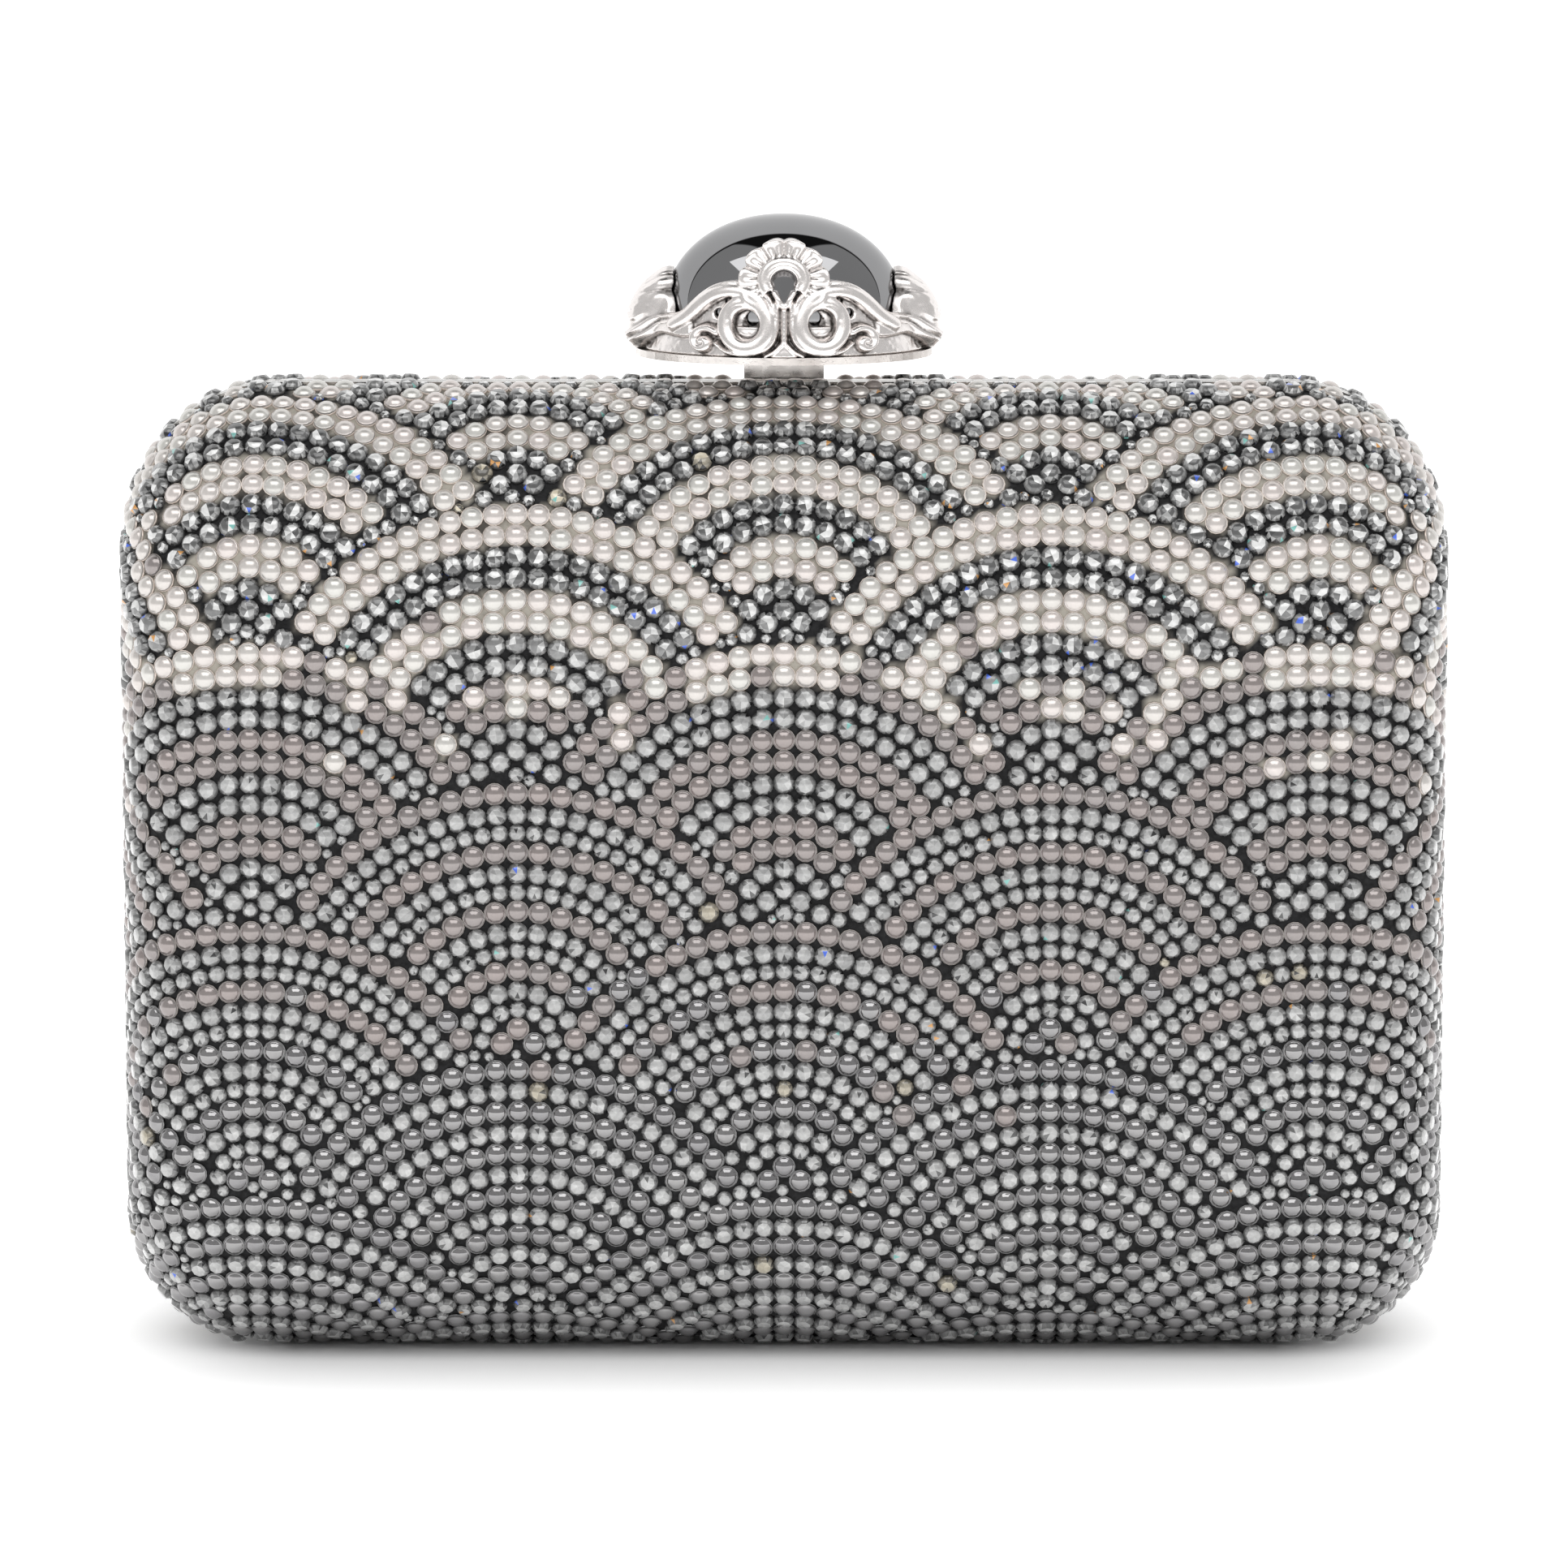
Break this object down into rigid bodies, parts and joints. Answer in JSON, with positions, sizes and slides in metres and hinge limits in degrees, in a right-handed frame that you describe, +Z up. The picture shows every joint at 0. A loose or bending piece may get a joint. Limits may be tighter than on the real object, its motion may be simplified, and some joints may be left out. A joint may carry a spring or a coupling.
{
  "type": "minaudiere",
  "caption": "Hard evening case in pillow-shaped halves covered in half pearls and crystals, hinged along the bottom, with a press knob of an oval dark cabochon in a cast silver crown.",
  "frame": {"origin": "middle of the face that the closed case stands on", "axes": "+Z up, +X along the width, the front of the case faces -Y"},
  "size_m": [0.166, 0.048, 0.1419],
  "materials": {
    "shell_metal": "pressed sheet, silver plated",
    "set_stones": "half pearls and faceted crystals set in glue",
    "rim_metal": "polished silver-tone plate",
    "lining_leather": "smooth fine-grained leather",
    "hinge_metal": "silver plated",
    "latch_metal": "silver plated, satin",
    "fastener_metal": "bright steel",
    "spring_steel": "tempered strip",
    "crown_silver": "polished casting, dark in its recesses",
    "cabochon_stone": "mirror-polished hematite"
  },
  "bodies": {
    "back_half": {"back_shell": "shell_metal", "back_stones": "set_stones", "back_rim": "rim_metal", "back_lining": "lining_leather", "hinge_leaf_back": "hinge_metal", "hinge_rivets_back": "hinge_metal", "hinge_pin": "hinge_metal", "latch_guide": "latch_metal", "latch_guide_screws": "fastener_metal", "catch_spring": "spring_steel", "catch_rivets": "fastener_metal"},
    "front_half": {"front_shell": "shell_metal", "front_stones": "set_stones", "front_rim": "rim_metal", "front_lining": "lining_leather", "hinge_leaf_front": "hinge_metal", "hinge_rivets_front": "hinge_metal", "striker_plate": "latch_metal", "striker_rivets": "fastener_metal"},
    "press_knob": {"stem": "crown_silver", "crown_plate": "crown_silver", "crown": "crown_silver", "crown_screws": "fastener_metal", "cabochon": "cabochon_stone"}
  },
  "joints": [
    {"name": "case_hinge", "type": "hinge", "parent": "back_half", "child": "front_half", "pos_m": [0, 0, 0.002], "axis": [1, 0, 0], "range_deg": [0, 100]},
    {"name": "knob_press", "type": "slide", "parent": "back_half", "child": "press_knob", "axis": [0, 0, -1], "range_m": [0, 0.0016], "stiffness_N_per_m": 900, "springref_m": -0.004, "deforming": ["catch_spring"]}
  ]
}
